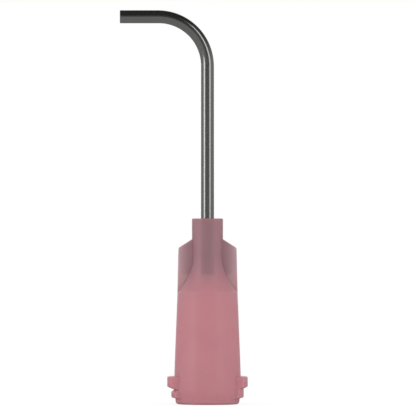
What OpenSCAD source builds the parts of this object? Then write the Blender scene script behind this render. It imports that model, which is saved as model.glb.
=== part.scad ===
// Blunt dispensing tip with a 90 degree bent cannula.
// A moulded hub with a female 6 % luer socket carries one stainless tube.
// The hub stands on its mouth at z = 0, the tube leaves the neck upwards
// and turns towards -X.

/* [Cannula] */
// Outside diameter of the tube
tube_od = 1.27; // [0.9:0.01:1.5]
// Wall thickness of the tube
tube_wall = 0.215; // [0.1:0.005:0.3]
// Straight run from the top of the neck to the start of the bend
riser_len = 14.74; // [6:0.01:30]
// Centre-line radius of the bend
bend_r = 4.75; // [3:0.05:8]
// Straight run from the end of the bend to the outlet
outlet_len = 3.71; // [1:0.01:12]
// Deburred edge around the outlet
tip_break = 0.04; // [0.01:0.01:0.08]
// Length of tube that is held inside the hub
grip_len = 5.53; // [5:0.01:5.9]

/* [Neck] */
// Height of the whole hub
hub_len = 17.93; // [17.5:0.01:19]
// Diameter of the neck
neck_d = 3.0; // [2.6:0.01:3.4]
// Height of the neck that stands clear above the wings
neck_len = 2.0; // [1:0.01:2.4]
// Edge radius around the top of the neck
neck_edge = 0.1; // [0.05:0.01:0.3]
// Height of the plain column between the top of the wings and the flare
column_len = 1.53; // [1.2:0.01:1.9]
// Radius of the hollow flare that widens the neck into the barrel
flare_r = 5.25; // [4.6:0.05:6]

/* [Barrel] */
// Diameter of the barrel at its foot
barrel_d = 6.54; // [6.3:0.01:6.8]
// Draft of the barrel's wall, in degrees
barrel_draft = 2.19; // [1.5:0.01:2.6]
// Edge radius where the flare meets the barrel's wall
crest_edge = 0.35; // [0.15:0.01:0.5]
// Diameter of the rim at the mouth
rim_d = 6.18; // [5.9:0.01:6.25]
// Height of the straight rim, its edge radius included
rim_len = 0.42; // [0.35:0.01:0.5]
// Edge radius around the mouth
rim_edge = 0.3; // [0.15:0.01:0.33]
// Height at which the rim's lead-in reaches the barrel
lead_z = 1.35; // [1:0.01:1.5]

/* [Wings] */
// Thickness of a wing where it leaves the neck
wing_root_t = 1.1; // [0.9:0.01:1.4]
// Thickness of a wing at its outer edge
wing_edge_t = 0.7; // [0.5:0.01:0.85]
// Draft of a wing's outer edge, in degrees
wing_draft = 1.3; // [0.8:0.01:1.8]
// Slope of a wing's shoulder below the horizontal, in degrees
wing_slope = 32.5; // [25:0.5:40]
// Corner radius between a wing's shoulder and its outer edge
wing_corner = 0.3; // [0.1:0.01:0.45]

/* [Lock ears] */
// Distance across the two lock ears
ear_d = 7.78; // [7.6:0.01:7.9]
// Width of an ear and its heel, along their chord
ear_w = 3.5; // [2.8:0.05:4]
// Height of the flat top of the ears
ear_top = 2.68; // [2.5:0.01:2.8]
// Height at which an ear's crest turns into its lower flank
ear_crest = 1.7; // [1.6:0.01:1.85]
// Slope of an ear's lower flank, in degrees
ear_flank = 25; // [18:1:30]
// Edge radius along an ear's crest
ear_edge = 0.12; // [0.05:0.01:0.2]
// Distance across the two heels below the ears
heel_d = 7.0; // [6.85:0.01:7.2]
// Height of the underside of the heels
heel_bottom = 0.6; // [0.5:0.01:0.7]
// Height of the upper side of the heels
heel_top = 1.32; // [1.2:0.01:1.36]
// Edge radius along a heel
heel_edge = 0.2; // [0.1:0.01:0.28]
// Height up to which the right-hand heel runs on to close its groove
web_top = 1.62; // [1.58:0.01:1.66]

/* [Luer socket] */
// Diameter of the socket at the mouth
socket_d = 4.3; // [4.27:0.005:4.32]
// Taper of the socket's diameter over its length
socket_taper = 0.06; // [0.055:0.001:0.065]
// Depth of the tapered socket
socket_depth = 10.2; // [9.5:0.05:10.4]
// Chamfer around the mouth of the socket
socket_chamfer = 0.15; // [0.05:0.01:0.25]
// Length of the funnel from the socket to the passage
funnel_len = 1.8; // [1.2:0.05:2]

/* [Hidden] */

// radial gap between the tube and the hub that is moulded round it
seat_gap = 0;
// overrun of a cutting tool past a face
over = 0.5;

tube_r = tube_od / 2;
lumen_r = tube_r - tube_wall;
seat_z = hub_len - grip_len;
bend_z = hub_len + riser_len;
outlet_z = bend_z + bend_r;

neck_r = neck_d / 2;
shoulder_z = hub_len - neck_len;
flare_c = [neck_r + flare_r, shoulder_z - column_len];

// radius of the drafted barrel at a height
function barrel_r(z) = barrel_d / 2 - (z - lead_z) * tan(barrel_draft);

// The crest's edge circle touches the barrel's wall from inside and the
// flare from outside. Its centre is crest_edge inside the wall and
// flare_r + crest_edge away from the flare's centre.
wall_in = [-cos(barrel_draft), -sin(barrel_draft)];
wall_up = [-sin(barrel_draft), cos(barrel_draft)];
crest_start = [barrel_r(lead_z), lead_z] + crest_edge * wall_in - flare_c;
crest_b = crest_start * wall_up;
crest_q = crest_start * crest_start - pow(flare_r + crest_edge, 2);
crest_run = -crest_b - sqrt(crest_b * crest_b - crest_q);
crest_c = flare_c + crest_start + crest_run * wall_up;
crest_wall = crest_c - crest_edge * wall_in;
crest_flare = flare_c + (crest_c - flare_c) * flare_r / (flare_r + crest_edge);

// radius of a wing's drafted outer edge at a height
function wing_r(z) = crest_wall[0] - (z - crest_wall[1]) * tan(wing_draft);

// The wing's corner circle touches its shoulder and its outer edge.
// Both lines are moved in by the corner radius, and meet at its centre.
corner_slack = wing_corner / cos(wing_slope);
corner_x = wing_r(shoulder_z) - wing_corner / cos(wing_draft);
corner_t = (shoulder_z - corner_slack - (corner_x - neck_r) * tan(wing_slope) - shoulder_z)
    / (1 - tan(wing_slope) * tan(wing_draft));
corner_c = [corner_x - corner_t * tan(wing_draft), shoulder_z + corner_t];
corner_top = corner_c + wing_corner * [sin(wing_slope), cos(wing_slope)];
corner_side = corner_c + wing_corner * [cos(wing_draft), sin(wing_draft)];

ear_r = ear_d / 2;
heel_r = heel_d / 2;
// radius inside the barrel's wall where ears, heels and wings take root
root_r = rim_d / 2 - over;
// half thickness that a wing would have on the hub's axis
wing_core_t = wing_root_t
    + (wing_root_t - wing_edge_t) * neck_r / (crest_wall[0] - neck_r);

socket_top_r = socket_d / 2 - socket_depth * socket_taper / 2;
funnel_top = socket_depth + funnel_len;
chamfer_r = socket_d / 2 + socket_chamfer;

// profile of a round edge: a disc that fills a cut-back corner
module edge_disc(centre, r) {
    translate(centre) circle(r = r, $fn = 96);
}

// half section of the outer form, without wings and ears
module hub_section() {
    rim_r = rim_d / 2;
    // rim, lead-in and drafted barrel up to the crest
    polygon([
        [0, 0], [rim_r - rim_edge, 0], [rim_r, rim_edge], [rim_r, rim_len],
        [barrel_r(lead_z), lead_z], crest_wall, crest_flare, [0, crest_flare[1]]
    ]);
    edge_disc([rim_r - rim_edge, rim_edge], rim_edge);
    edge_disc(crest_c, crest_edge);
    // hollow flare, tangent to the neck
    difference() {
        translate([0, crest_flare[1]])
            square([crest_flare[0], flare_c[1] - crest_flare[1]]);
        translate(flare_c) circle(r = flare_r, $fn = 360);
    }
    // neck with its rounded top edge
    polygon([
        [0, flare_c[1]], [neck_r, flare_c[1]], [neck_r, hub_len - neck_edge],
        [neck_r - neck_edge, hub_len], [0, hub_len]
    ]);
    edge_disc([neck_r - neck_edge, hub_len - neck_edge], neck_edge);
}

// half section of a wing: drafted edge, round corner, sloping shoulder
module wing_section() {
    polygon([
        [0, crest_wall[1]], crest_wall, corner_side, corner_top,
        [neck_r, shoulder_z], [0, shoulder_z]
    ]);
    edge_disc(corner_c, wing_corner);
}

// the two wings, tapering in thickness from the neck to their edges
module wings() {
    edge_x = crest_wall[0];
    intersection() {
        rotate_extrude($fn = 180) wing_section();
        translate([0, 0, crest_wall[1] - over])
            linear_extrude(height = shoulder_z - crest_wall[1] + 2 * over)
                polygon([
                    [-edge_x, -wing_edge_t / 2], [0, -wing_core_t / 2],
                    [edge_x, -wing_edge_t / 2], [edge_x, wing_edge_t / 2],
                    [0, wing_core_t / 2], [-edge_x, wing_edge_t / 2]
                ]);
    }
}

// half section of an ear: flat top, upright crest, sloping lower flank
module ear_section() {
    turn = ear_edge * tan((90 - ear_flank) / 2);
    flank_c = [ear_r - ear_edge, ear_crest + turn];
    polygon([
        [root_r, ear_top], [ear_r - ear_edge, ear_top], [ear_r, ear_top - ear_edge],
        [ear_r, flank_c[1]],
        flank_c + ear_edge * [sin(ear_flank), -cos(ear_flank)],
        [root_r, ear_crest - (ear_r - root_r) * tan(ear_flank)]
    ]);
    edge_disc([ear_r - ear_edge, ear_top - ear_edge], ear_edge);
    edge_disc(flank_c, ear_edge);
}

// half section of a heel, a low bead with round edges
module heel_section(top) {
    polygon([
        [root_r, heel_bottom], [heel_r - heel_edge, heel_bottom],
        [heel_r, heel_bottom + heel_edge], [heel_r, top - heel_edge],
        [heel_r - heel_edge, top], [root_r, top]
    ]);
    for (z = [heel_bottom + heel_edge, top - heel_edge])
        edge_disc([heel_r - heel_edge, z], heel_edge);
}

// slab that trims the turned ears and heels to their chord width
module ear_slab(x0, x1) {
    translate([x0, -ear_w / 2, 0]) cube([x1 - x0, ear_w, ear_top + over]);
}

// lock ears and heels on both sides, and the closed groove on the right
module ears() {
    intersection() {
        rotate_extrude($fn = 180) {
            ear_section();
            heel_section(heel_top);
        }
        ear_slab(-ear_d, ear_d);
    }
    intersection() {
        rotate_extrude($fn = 180) heel_section(web_top);
        ear_slab(0, ear_d);
    }
}

// female luer socket, funnel, passage and the seat of the tube
module hub_bores() {
    translate([0, 0, -over])
        cylinder(h = over, r = chamfer_r, $fn = 180);
    cylinder(h = socket_chamfer, r1 = chamfer_r, r2 = socket_d / 2, $fn = 180);
    cylinder(h = socket_depth, r1 = socket_d / 2, r2 = socket_top_r, $fn = 180);
    translate([0, 0, socket_depth])
        cylinder(h = funnel_len, r1 = socket_top_r, r2 = lumen_r, $fn = 180);
    translate([0, 0, socket_depth])
        cylinder(h = seat_z - socket_depth, r = lumen_r, $fn = 72);
    translate([0, 0, seat_z])
        cylinder(h = grip_len + over, r = tube_r + seat_gap, $fn = 72);
}

// moulded hub in translucent pink
module hub() {
    color([0.80, 0.52, 0.57])
        difference() {
            union() {
                rotate_extrude($fn = 180) hub_section();
                wings();
                ears();
            }
            hub_bores();
        }
}

// solid rod along the tube's centre line; ext runs past both of its ends
module tube_path(r, ext) {
    translate([0, 0, seat_z - ext])
        cylinder(h = bend_z - seat_z + ext, r = r, $fn = 72);
    translate([-bend_r, 0, bend_z])
        rotate([90, 0, 0])
            rotate_extrude(angle = 90, $fn = 180)
                translate([bend_r, 0]) circle(r = r, $fn = 72);
    translate([-bend_r, 0, outlet_z])
        rotate([0, -90, 0])
            cylinder(h = outlet_len + ext, r = r, $fn = 72);
}

// stainless tube: riser, bend and outlet, cut square and deburred
module cannula() {
    color([0.62, 0.63, 0.64])
        difference() {
            tube_path(tube_r, 0);
            tube_path(lumen_r, over);
            // deburred outer edge of the outlet
            translate([-bend_r - outlet_len, 0, outlet_z])
                rotate([0, 90, 0])
                    difference() {
                        translate([0, 0, -over])
                            cylinder(h = over + tip_break, r = tube_od, $fn = 72);
                        cylinder(h = tip_break, r1 = tube_r - tip_break, r2 = tube_r, $fn = 72);
                        translate([0, 0, -over])
                            cylinder(h = over, r = tube_r - tip_break, $fn = 72);
                    }
        }
}

hub();
cannula();
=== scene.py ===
"""Dress the dispensing needle tip: moulded pink hub and bent stainless tube."""

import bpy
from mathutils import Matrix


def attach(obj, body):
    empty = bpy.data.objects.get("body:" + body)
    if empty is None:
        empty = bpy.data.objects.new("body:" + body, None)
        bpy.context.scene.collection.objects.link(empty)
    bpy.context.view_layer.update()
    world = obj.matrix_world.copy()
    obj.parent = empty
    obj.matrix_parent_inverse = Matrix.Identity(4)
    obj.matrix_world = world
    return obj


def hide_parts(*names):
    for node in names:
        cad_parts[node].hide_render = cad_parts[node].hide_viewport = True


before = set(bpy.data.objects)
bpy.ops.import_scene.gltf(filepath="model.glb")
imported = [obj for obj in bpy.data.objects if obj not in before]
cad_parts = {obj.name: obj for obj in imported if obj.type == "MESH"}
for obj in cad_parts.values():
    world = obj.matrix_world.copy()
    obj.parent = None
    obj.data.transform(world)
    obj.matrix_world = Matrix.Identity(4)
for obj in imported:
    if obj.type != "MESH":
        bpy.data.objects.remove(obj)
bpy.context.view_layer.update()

import logging
import math
from dataclasses import dataclass, field
from enum import Enum

import bpy
from mathutils import Vector

log = logging.getLogger("needle_tip")

MM = 0.001
BODY = "root"
FULL = (0.0, 1.0)

Colour = tuple[float, float, float]
Span = tuple[float, float]


class Node(Enum):
    """The CAD nodes of the tip."""

    HUB = "hub"
    TUBE = "cannula"


class Slot(Enum):
    """The record's material slots."""

    HUB = "hub_plastic"
    TUBE = "tube_steel"


# ---------------------------------------------------------------- shaders


class ShaderBench:
    """Short calls that add nodes and links to one node tree."""

    def __init__(self, tree: bpy.types.NodeTree) -> None:
        """Keep the tree that the nodes go into.

        Args:
            tree: node tree of a material, a world or a group.
        """
        self.tree = tree

    def add(self, kind: str, **settings: object) -> bpy.types.Node:
        """Add a node.

        Args:
            kind: bl_idname of the node, such as ShaderNodeMath.
            settings: attributes set on the node.

        Returns:
            The new node.
        """
        node = self.tree.nodes.new(kind)
        for name, value in settings.items():
            setattr(node, name, value)
        return node

    def put(self, node: bpy.types.Node, **values: object) -> bpy.types.Node:
        """Set a node's unlinked inputs by name, with _ for a space.

        Args:
            node: node whose inputs are set.
            values: input values by name.

        Returns:
            The same node.
        """
        for name, value in values.items():
            node.inputs[name.replace("_", " ")].default_value = value
        return node

    def link(self, source: bpy.types.NodeSocket, target: bpy.types.NodeSocket) -> None:
        """Link an output to an input."""
        self.tree.links.new(source, target)

    def math(
        self,
        operation: str,
        a: bpy.types.NodeSocket | float,
        b: bpy.types.NodeSocket | float = 0.0,
        clamp: bool = False,
    ) -> bpy.types.NodeSocket:
        """Add a Math node.

        Args:
            operation: the Math node's operation.
            a: first value or a socket that gives it.
            b: second value or a socket that gives it.
            clamp: whether the result is held between 0 and 1.

        Returns:
            The result's socket.
        """
        node = self.add("ShaderNodeMath", operation=operation, use_clamp=clamp)
        for socket, value in zip(node.inputs, (a, b)):
            if isinstance(value, bpy.types.NodeSocket):
                self.link(value, socket)
            else:
                socket.default_value = value
        return node.outputs[0]

    def blend(
        self,
        factor: bpy.types.NodeSocket,
        low: Colour,
        high: Colour,
    ) -> bpy.types.NodeSocket:
        """Mix two colours by a mask.

        Args:
            factor: mask from 0 to 1.
            low: colour where the mask is 0.
            high: colour where the mask is 1.

        Returns:
            The mixed colour's socket.
        """
        node = self.add("ShaderNodeMix", data_type="RGBA")
        self.link(factor, node.inputs["Factor"])
        node.inputs["A"].default_value = (*low, 1.0)
        node.inputs["B"].default_value = (*high, 1.0)
        return node.outputs["Result"]

    def plain(self, colour: Colour) -> bpy.types.NodeSocket:
        """Give one colour as a socket.

        Args:
            colour: the colour.

        Returns:
            The colour's socket.
        """
        node = self.add("ShaderNodeRGB")
        node.outputs[0].default_value = (*colour, 1.0)
        return node.outputs[0]

    def mix(
        self,
        factor: bpy.types.NodeSocket,
        low: bpy.types.NodeSocket,
        high: bpy.types.NodeSocket,
    ) -> bpy.types.NodeSocket:
        """Mix two colour sockets by a mask.

        Args:
            factor: mask from 0 to 1.
            low: colour where the mask is 0.
            high: colour where the mask is 1.

        Returns:
            The mixed colour's socket.
        """
        node = self.add("ShaderNodeMix", data_type="RGBA")
        self.link(factor, node.inputs["Factor"])
        self.link(low, node.inputs["A"])
        self.link(high, node.inputs["B"])
        return node.outputs["Result"]

    def span(
        self,
        value: bpy.types.NodeSocket,
        source: Span,
        target: Span = FULL,
        smooth: bool = False,
    ) -> bpy.types.NodeSocket:
        """Carry a value from one range to another.

        Args:
            value: socket that gives the value.
            source: range that the value comes from.
            target: range that it goes to.
            smooth: whether the ends ease in and out.

        Returns:
            The result's socket.
        """
        kind = "SMOOTHSTEP" if smooth else "LINEAR"
        node = self.add("ShaderNodeMapRange", interpolation_type=kind)
        self.link(value, node.inputs["Value"])
        names = ("From Min", "From Max", "To Min", "To Max")
        for name, number in zip(names, (*source, *target)):
            node.inputs[name].default_value = number
        return node.outputs["Result"]

    def noise(
        self,
        place: bpy.types.NodeSocket,
        scale: bpy.types.NodeSocket | float,
        **settings: float,
    ) -> bpy.types.Node:
        """Add a noise.

        Args:
            place: socket that gives the place on the surface.
            scale: the noise's scale or a socket that gives it.
            settings: its other inputs, such as Detail and Roughness.

        Returns:
            The noise's node.
        """
        node = self.put(self.add("ShaderNodeTexNoise"), **settings)
        self.link(place, node.inputs["Vector"])
        if isinstance(scale, bpy.types.NodeSocket):
            self.link(scale, node.inputs["Scale"])
        else:
            node.inputs["Scale"].default_value = scale
        return node

    def relief(self, height: bpy.types.NodeSocket, strength: float, distance: float) -> bpy.types.NodeSocket:
        """Add a bump.

        Args:
            height: socket that gives the height.
            strength: how far the bump shows, from 0 to 1.
            distance: its depth in metres.

        Returns:
            The bumped normal's socket.
        """
        node = self.put(self.add("ShaderNodeBump"), Strength=strength, Distance=distance)
        self.link(height, node.inputs["Height"])
        return node.outputs["Normal"]


def start_material(name: str) -> tuple[bpy.types.Material, ShaderBench, bpy.types.Node]:
    """Make a material with its Principled shader.

    Args:
        name: name of the material.

    Returns:
        The material, its bench and its shader.
    """
    material = bpy.data.materials.new(name)
    material.use_nodes = True
    return material, ShaderBench(material.node_tree), material.node_tree.nodes["Principled BSDF"]


class EffectGroup:
    """A shader node group that the finishes draw on."""

    def __init__(self, name: str, inputs: dict[str, float], outputs: tuple[str, ...]) -> None:
        """Make the group's tree with its sockets.

        Args:
            name: name of the group.
            inputs: default values of its float inputs by name.
            outputs: names of its float outputs.
        """
        self.tree = bpy.data.node_groups.new(name, "ShaderNodeTree")
        for label, value in inputs.items():
            socket = self.tree.interface.new_socket(label, in_out="INPUT", socket_type="NodeSocketFloat")
            socket.default_value = value
        for label in outputs:
            self.tree.interface.new_socket(label, in_out="OUTPUT", socket_type="NodeSocketFloat")
        self.bench = ShaderBench(self.tree)
        self.source = self.bench.add("NodeGroupInput").outputs
        self.target = self.bench.add("NodeGroupOutput").inputs
        self.draw()

    def draw(self) -> None:
        """Build the group's nodes; each effect has its own."""
        raise NotImplementedError

    def give(self, noise: bpy.types.Node, name: str) -> None:
        """Raise a noise's contrast about its middle and put it out.

        Args:
            noise: the noise's node.
            name: name of the group's output.
        """
        centred = self.bench.math("SUBTRACT", noise.outputs["Fac"], 0.5)
        raised = self.bench.math("MULTIPLY", centred, self.source["Contrast"])
        self.bench.link(self.bench.math("ADD", raised, 0.5, clamp=True), self.target[name])

    def place(self, bench: ShaderBench, **values: float) -> bpy.types.Node:
        """Place the group in a material.

        Args:
            bench: the material's bench.
            values: input values by name, with _ for a space.

        Returns:
            The group node.
        """
        node = bench.add("ShaderNodeGroup", node_tree=self.tree)
        return bench.put(node, **values)


class Mottle(EffectGroup):
    """Cloudy unevenness in a surface, at two scales."""

    # how much finer the speckle is than the cloud
    FINENESS = 5.0

    def __init__(self) -> None:
        """Make the group with a scale and a contrast."""
        super().__init__("mottle", {"Scale": 500.0, "Contrast": 1.0}, ("Mask", "Speckle"))

    def draw(self) -> None:
        """Two noises: a broad cloud and a fine speckle."""
        b, scale = self.bench, self.source["Scale"]
        place = b.add("ShaderNodeTexCoord").outputs["Object"]
        finer = b.math("MULTIPLY", scale, self.FINENESS)
        self.give(b.noise(place, scale, Detail=3.0, Roughness=0.55, Distortion=0.3), "Mask")
        self.give(b.noise(place, finer, Detail=1.0, Roughness=0.5), "Speckle")


class Drawing(EffectGroup):
    """Fine lines that run lengthwise, as a drawing die leaves them."""

    # scale of the faint stains between the lines
    STAIN_SCALE = 260.0

    def __init__(self) -> None:
        """Make the group with the lines' density, stretch and contrast."""
        inputs = {"Density": 3600.0, "Stretch": 0.02, "Contrast": 1.0}
        super().__init__("drawing", inputs, ("Lines", "Stain"))

    def draw(self) -> None:
        """Noise squeezed round the tube and stretched along it."""
        b = self.bench
        along = b.add("ShaderNodeAttribute", attribute_name="draw").outputs["Vector"]
        parts = b.add("ShaderNodeSeparateXYZ")
        b.link(along, parts.inputs[0])
        joined = b.add("ShaderNodeCombineXYZ")
        b.link(parts.outputs["X"], joined.inputs["X"])
        b.link(parts.outputs["Y"], joined.inputs["Y"])
        b.link(b.math("MULTIPLY", parts.outputs["Z"], self.source["Stretch"]), joined.inputs["Z"])
        lines = b.noise(joined.outputs[0], self.source["Density"], Detail=1.0, Roughness=0.5)
        self.give(lines, "Lines")
        self.give(b.noise(along, self.STAIN_SCALE, Detail=3.0, Roughness=0.5), "Stain")


@dataclass(frozen=True)
class PinkPolypropylene:
    """Translucent moulded polypropylene with a satin skin."""

    # deep and pale tone of the barrel, and of the neck above it; the neck's darker tone is painted shade of
    # the steel tube inside
    body: tuple[Colour, Colour] = ((0.655, 0.28, 0.32), (0.70, 0.305, 0.345))
    neck_painted_shade: tuple[Colour, Colour] = ((0.44, 0.23, 0.265), (0.48, 0.255, 0.29))
    neck_fade: Span = (9.5 * MM, 14.5 * MM)
    # painted light: a paler, greyer tone on the thin wings for the light that shows through them
    wing_painted_light: Colour = (0.58, 0.40, 0.42)
    wing_reach: Span = (1.5 * MM, 3.0 * MM)
    wing_fade: Span = (9.0 * MM, 13.0 * MM)
    # painted shade: a darker band where the steel tube shows through the neck
    tube_painted_shade: Colour = (0.33, 0.185, 0.205)
    tube_shade_reach: Span = (0.45 * MM, 0.8 * MM)
    tube_shade_foot: Span = (12.3 * MM, 12.75 * MM)
    tube_shade_depth: float = 0.55
    cloud_scale: float = 420.0
    cloud_contrast: float = 1.4
    speckle_span: Span = (0.2, 0.8)
    roughness: Span = (0.30, 0.38)
    clearness: float = 0.25
    scatter: float = 0.6
    scatter_reach: float = 0.8 * MM
    scatter_tint: Colour = (1.0, 0.55, 0.6)
    skin_relief: float = 0.003 * MM
    skin_strength: float = 0.25

    def make(self, mottle: Mottle) -> bpy.types.Material:
        """Build the material.

        Args:
            mottle: the shared cloudiness.

        Returns:
            The hub's material.
        """
        material, b, shader = start_material("pink_polypropylene")
        b.put(
            shader, IOR=1.49, Specular_IOR_Level=0.5, Transmission_Weight=self.clearness,
            Subsurface_Weight=self.scatter, Subsurface_Scale=self.scatter_reach,
            Subsurface_Radius=self.scatter_tint,
        )
        cloud = mottle.place(b, Scale=self.cloud_scale, Contrast=self.cloud_contrast)
        place = b.add("ShaderNodeSeparateXYZ")
        b.link(b.add("ShaderNodeTexCoord").outputs["Object"], place.inputs[0])
        height = place.outputs["Z"]
        aside = b.math("ABSOLUTE", place.outputs["X"])
        up = b.span(height, self.neck_fade, smooth=True)
        out = b.span(aside, self.wing_reach, smooth=True)
        wing_light_mask = b.math("MULTIPLY", out, b.span(height, self.wing_fade, smooth=True))
        body = b.blend(cloud.outputs["Mask"], *self.body)
        # painted shade: the neck's darker tone stands in for the steel tube inside it
        neck_painted_shade = b.blend(cloud.outputs["Mask"], *self.neck_painted_shade)
        tall = b.mix(up, body, neck_painted_shade)
        # painted light: the paler wing tone where light shows through the thin wings
        wing_lit = b.mix(wing_light_mask, tall, b.plain(self.wing_painted_light))
        # painted shade of the tube inside: darker near the axes, above the tube's lower end, kept off the
        # wings
        near = b.math("MINIMUM", aside, b.math("ABSOLUTE", place.outputs["Y"]))
        held = b.math(
            "MULTIPLY",
            b.span(near, self.tube_shade_reach, (self.tube_shade_depth, 0.0), smooth=True),
            b.span(height, self.tube_shade_foot, smooth=True),
        )
        inside = b.math("MULTIPLY", held, b.math("SUBTRACT", 1.0, out))
        b.link(b.mix(inside, wing_lit, b.plain(self.tube_painted_shade)), shader.inputs["Base Color"])
        speckle = cloud.outputs["Speckle"]
        b.link(b.span(speckle, self.speckle_span, self.roughness), shader.inputs["Roughness"])
        b.link(b.relief(speckle, self.skin_strength, self.skin_relief), shader.inputs["Normal"])
        return material


@dataclass(frozen=True)
class DrawnStainless:
    """Drawn stainless tube with a fine lengthwise grain."""

    bright: Colour = (0.60, 0.60, 0.585)
    dull: Colour = (0.46, 0.46, 0.45)
    line_density: float = 3600.0
    line_stretch: float = 0.02
    line_contrast: float = 1.0
    line_share: float = 0.5
    tone: float = 0.67
    line_span: Span = (0.2, 0.8)
    roughness: Span = (0.14, 0.24)
    grain_relief: float = 0.0006 * MM
    grain_strength: float = 0.06

    def make(self, drawing: Drawing) -> bpy.types.Material:
        """Build the material.

        Args:
            drawing: the drawing lines.

        Returns:
            The tube's material.
        """
        material, b, shader = start_material("drawn_stainless")
        b.put(shader, Metallic=1.0)
        grain = drawing.place(
            b, Density=self.line_density, Stretch=self.line_stretch, Contrast=self.line_contrast
        )
        lines = grain.outputs["Lines"]
        stained = b.math("ADD", b.math("MULTIPLY", lines, self.line_share), grain.outputs["Stain"])
        mask = b.math("MULTIPLY", stained, self.tone)
        b.link(b.blend(mask, self.dull, self.bright), shader.inputs["Base Color"])
        b.link(b.span(lines, self.line_span, self.roughness), shader.inputs["Roughness"])
        b.link(b.relief(lines, self.grain_strength, self.grain_relief), shader.inputs["Normal"])
        return material


# ---------------------------------------------------------------- pieces


@dataclass
class Hub:
    """The moulded hub."""

    finish: PinkPolypropylene = field(default_factory=PinkPolypropylene)
    edge: float = 0.04 * MM
    edge_angle: float = 35.0
    weld_reach: float = 1e-7

    def build(self) -> bpy.types.Object:
        """Soften the edges of the hub's solid.

        Returns:
            The hub's object.
        """
        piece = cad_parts[Node.HUB.value]
        weld = piece.modifiers.new("weld", "WELD")
        weld.merge_threshold = self.weld_reach
        soften = piece.modifiers.new("soften", "BEVEL")
        soften.limit_method = "ANGLE"
        soften.angle_limit = math.radians(self.edge_angle)
        soften.width = self.edge
        soften.segments = 2
        even = piece.modifiers.new("even", "WEIGHTED_NORMAL")
        even.keep_sharp = True
        return piece

    def dress(self, piece: bpy.types.Object, mottle: Mottle) -> None:
        """Give the hub its finish.

        Args:
            piece: the hub's object.
            mottle: the shared cloudiness.
        """
        dress(piece, self.finish.make(mottle))


@dataclass
class Cannula:
    """The bent tube: grip, riser, bend and outlet."""

    finish: DrawnStainless = field(default_factory=DrawnStainless)
    outer: float = 0.635 * MM
    wall: float = 0.215 * MM
    seat: float = 12.4 * MM
    bend_start: float = 32.67 * MM
    bend_radius: float = 4.75 * MM
    outlet: float = 3.71 * MM
    edge: float = 0.04 * MM
    flattening: float = 0.02
    sides: int = 72
    bend_rings: int = 72
    straight_step: float = 0.5 * MM
    sharp_angle: float = 30.0

    def path(self) -> list[tuple[Vector, Vector, float, float]]:
        """Walk along the centre line.

        Returns:
            One entry a ring: its centre, the direction away from the bend's
            centre, how far the bend is flattened there, and the length so far.
        """
        rings = []
        rise = self.bend_start - self.seat
        count = max(2, round(rise / self.straight_step))
        for i in range(count):
            run = rise * i / count
            rings.append((Vector((0, 0, self.seat + run)), Vector((1, 0, 0)), 0.0, run))
        hinge = Vector((-self.bend_radius, 0, self.bend_start))
        for i in range(self.bend_rings + 1):
            turn = math.pi / 2 * i / self.bend_rings
            out = Vector((math.cos(turn), 0, math.sin(turn)))
            inner = 0 < i < self.bend_rings
            flat = self.flattening * math.sqrt(math.sin(2 * turn)) if inner else 0.0
            rings.append((hinge + out * self.bend_radius, out, flat, rise + self.bend_radius * turn))
        arc = rise + self.bend_radius * math.pi / 2
        count = max(2, round(self.outlet / self.straight_step))
        for i in range(1, count + 1):
            run = self.outlet * i / count
            place = hinge + Vector((-run, 0, self.bend_radius))
            rings.append((place, Vector((0, 0, 1)), 0.0, arc + run))
        return rings

    def build(self) -> bpy.types.Object:
        """Sweep the tube's outer and inner walls and close its ends.

        Returns:
            The tube's object, which stands for the CAD node.
        """
        rings = self.path()
        inner = self.outer - self.wall
        last = rings[-1]
        tip = (last[1].cross(Vector((0, 1, 0)))).normalized() * self.edge
        outside = [(ring, self.outer) for ring in rings]
        shortened = (last[0] - tip, last[1], last[2], last[3] - self.edge)
        outside[-1] = (shortened, self.outer)
        mouth = [(last, self.outer - self.edge), (last, inner + self.edge / 2)]
        back = (last[0] - tip / 2, last[1], last[2], last[3] - self.edge / 2)
        inside = [(back, inner)] + [(ring, inner) for ring in reversed(rings[:-1])]
        loops = outside + mouth + inside
        points, grain = [], []
        across = Vector((0, 1, 0))
        for (centre, out, flat, run), radius in loops:
            for i in range(self.sides):
                turn = 2 * math.pi * i / self.sides
                outward, aside = radius * math.cos(turn), radius * math.sin(turn)
                points.append(centre + out * (outward * (1 - flat)) + across * aside)
                grain.append((outward, aside, run))
        faces, n = [], self.sides
        for j in range(len(loops)):
            k = (j + 1) % len(loops)
            for i in range(n):
                m = (i + 1) % n
                faces.append((j * n + i, k * n + i, k * n + m, j * n + m))
        mesh = bpy.data.meshes.new("bent_tube")
        mesh.from_pydata(points, [], faces)
        lay = mesh.attributes.new("draw", "FLOAT_VECTOR", "POINT")
        lay.data.foreach_set("vector", [value for row in grain for value in row])
        mesh.shade_smooth()
        mesh.set_sharp_from_angle(angle=math.radians(self.sharp_angle))
        tube = bpy.data.objects.new("bent_tube", mesh)
        bpy.context.collection.objects.link(tube)
        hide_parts(Node.TUBE.value)
        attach(tube, BODY)
        return tube

    def dress(self, piece: bpy.types.Object, drawing: Drawing) -> None:
        """Give the tube its finish.

        Args:
            piece: the tube's object.
            drawing: the drawing lines.
        """
        dress(piece, self.finish.make(drawing))


def dress(piece: bpy.types.Object, material: bpy.types.Material) -> None:
    """Put one material in all of a piece's slots.

    Args:
        piece: object to dress.
        material: its material.
    """
    if not piece.material_slots:
        piece.data.materials.append(material)
    for slot in piece.material_slots:
        slot.material = material


# ---------------------------------------------------------------- studio


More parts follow.
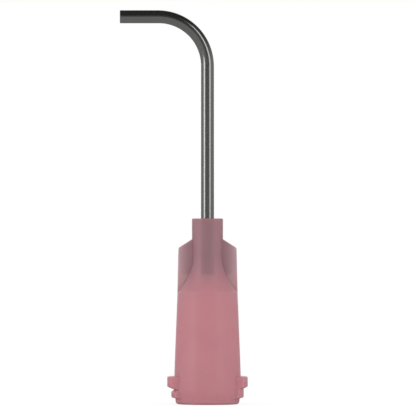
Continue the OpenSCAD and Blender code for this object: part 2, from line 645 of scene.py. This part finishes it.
@dataclass
class Studio:
    """Floor, light and camera round the tip."""

    view_centre: tuple[float, float, float] = (0.0, 0.0, 18.99 * MM)
    view_width: float = 40.09 * MM
    camera_distance: float = 0.6
    sensor: float = 36.0
    lamp_distance: float = 0.25
    lamp_height: float = 0.135
    floor_size: float = 12.0
    floor_gap: float = 0.02 * MM
    paper: tuple[float, float, float, float] = (0.9, 0.9, 0.9, 1.0)
    floor_share: float = 0.8
    floor_glow: float = 1.04
    floor_gloss: float = 0.21
    ambient: float = 0.95
    room_front: float = 0.07
    room_side: float = 0.26
    room_top: float = 0.2
    side_span: Span = (0.35, 0.98)
    top_span: Span = (0.1, 0.55)
    back_span: Span = (0.72, 0.97)

    def light(self, name: str, azimuth: float, size: Span, radiance: float) -> None:
        """Stand an upright soft box that faces the tip.

        Args:
            name: name of the lamp.
            azimuth: where it stands round the tip, in degrees from the camera.
            size: its width and height in metres.
            radiance: how bright its face is, with 1 as white.
        """
        data = bpy.data.lights.new(name, "AREA")
        data.shape = "RECTANGLE"
        data.size, data.size_y = size
        data.energy = math.pi * size[0] * size[1] * radiance
        lamp = bpy.data.objects.new(name, data)
        bpy.context.collection.objects.link(lamp)
        turn = math.radians(azimuth)
        lamp.location = (
            math.sin(turn) * self.lamp_distance,
            -math.cos(turn) * self.lamp_distance,
            self.lamp_height,
        )
        lamp.rotation_euler = (math.radians(90), 0, turn)

    @staticmethod
    def seen(bench: ShaderBench, path: bpy.types.Node) -> bpy.types.NodeSocket:
        """Mask what the camera sees, straight or through the hub.

        Args:
            bench: bench of the world or material.
            path: its Light Path node.

        Returns:
            The mask's socket.
        """
        return bench.math("MAXIMUM", path.outputs["Is Camera Ray"], path.outputs["Is Transmission Ray"])

    def build_world(self) -> None:
        """White where it is seen, even light on the tip, and a dim room in its gloss."""
        world = bpy.data.worlds.new("studio")
        bpy.context.scene.world = world
        world.use_nodes = True
        world.node_tree.nodes.clear()
        b = ShaderBench(world.node_tree)
        path = b.add("ShaderNodeLightPath")
        way = b.add("ShaderNodeSeparateXYZ")
        b.link(b.add("ShaderNodeTexCoord").outputs["Generated"], way.inputs[0])
        walls = (self.room_front, self.room_side)
        aside = b.span(b.math("ABSOLUTE", way.outputs["X"]), self.side_span, walls, smooth=True)
        overhead = b.span(way.outputs["Z"], self.top_span, (1.0, self.room_top), smooth=True)
        behind = b.span(way.outputs["Y"], self.back_span, smooth=True)
        gloss = b.math("MAXIMUM", b.math("MULTIPLY", aside, overhead), behind)
        seen = self.seen(b, path)
        unseen = b.math("SUBTRACT", 1.0, seen)
        glossy = b.math("MULTIPLY", path.outputs["Is Glossy Ray"], unseen)
        plain = b.math("SUBTRACT", unseen, glossy)
        level = b.math(
            "ADD",
            b.math("ADD", seen, b.math("MULTIPLY", glossy, gloss)),
            b.math("MULTIPLY", plain, self.ambient),
        )
        sky = b.put(b.add("ShaderNodeBackground"), Color=(1, 1, 1, 1))
        b.link(level, sky.inputs["Strength"])
        out = b.add("ShaderNodeOutputWorld")
        b.link(sky.outputs[0], out.inputs["Surface"])

    def build_floor(self) -> None:
        """A seamless white floor that keeps the tip's shadow."""
        half = self.floor_size / 2
        mesh = bpy.data.meshes.new("floor")
        corners = [(-half, -half, 0), (half, -half, 0), (half, half, 0), (-half, half, 0)]
        mesh.from_pydata(corners, [], [(0, 1, 2, 3)])
        floor = bpy.data.objects.new("floor", mesh)
        bpy.context.collection.objects.link(floor)
        floor.location.z = -self.floor_gap
        material = bpy.data.materials.new("floor_paper")
        material.use_nodes = True
        material.node_tree.nodes.clear()
        b = ShaderBench(material.node_tree)
        path = b.add("ShaderNodeLightPath")
        paper = b.put(b.add("ShaderNodeBsdfDiffuse"), Color=self.paper)
        glow = b.put(b.add("ShaderNodeEmission"), Color=(1, 1, 1, 1), Strength=self.floor_glow)
        lit = b.add("ShaderNodeMixShader")
        b.link(b.math("MULTIPLY", self.seen(b, path), self.floor_share), lit.inputs[0])
        b.link(paper.outputs[0], lit.inputs[1])
        b.link(glow.outputs[0], lit.inputs[2])
        dim = b.put(b.add("ShaderNodeEmission"), Color=(1, 1, 1, 1), Strength=self.floor_gloss)
        mix = b.add("ShaderNodeMixShader")
        b.link(path.outputs["Is Glossy Ray"], mix.inputs[0])
        b.link(lit.outputs[0], mix.inputs[1])
        b.link(dim.outputs[0], mix.inputs[2])
        out = b.add("ShaderNodeOutputMaterial")
        b.link(mix.outputs[0], out.inputs["Surface"])
        mesh.materials.append(material)

    def build_camera(self) -> None:
        """A long lens, level with the middle of the tip."""
        data = bpy.data.cameras.new("camera")
        data.sensor_width = self.sensor
        data.lens = self.sensor * self.camera_distance / self.view_width
        data.clip_start, data.clip_end = 0.01, 10.0
        camera = bpy.data.objects.new("camera", data)
        bpy.context.collection.objects.link(camera)
        x, y, z = self.view_centre
        camera.location = (x, y - self.camera_distance, z)
        camera.rotation_euler = (math.radians(90), 0, 0)
        bpy.context.scene.camera = camera

    def build(self) -> None:
        """Set up the whole studio."""
        self.build_world()
        self.build_floor()
        self.build_camera()
        self.light("lamp_left", -56, (0.10, 0.26), 1.25)
        self.light("lamp_right", 45, (0.08, 0.26), 1.05)
        bpy.context.scene.view_settings.view_transform = "Standard"


def main() -> None:
    """Build and dress the tip, then the studio."""
    logging.basicConfig(level=logging.INFO, format="%(name)s: %(message)s")
    for maker, effect in ((Hub(), Mottle()), (Cannula(), Drawing())):
        piece = maker.build()
        maker.dress(piece, effect)
        log.info("%s: %d faces", piece.name, len(piece.data.polygons))
    Studio().build()


if __name__ == "__main__":
    main()
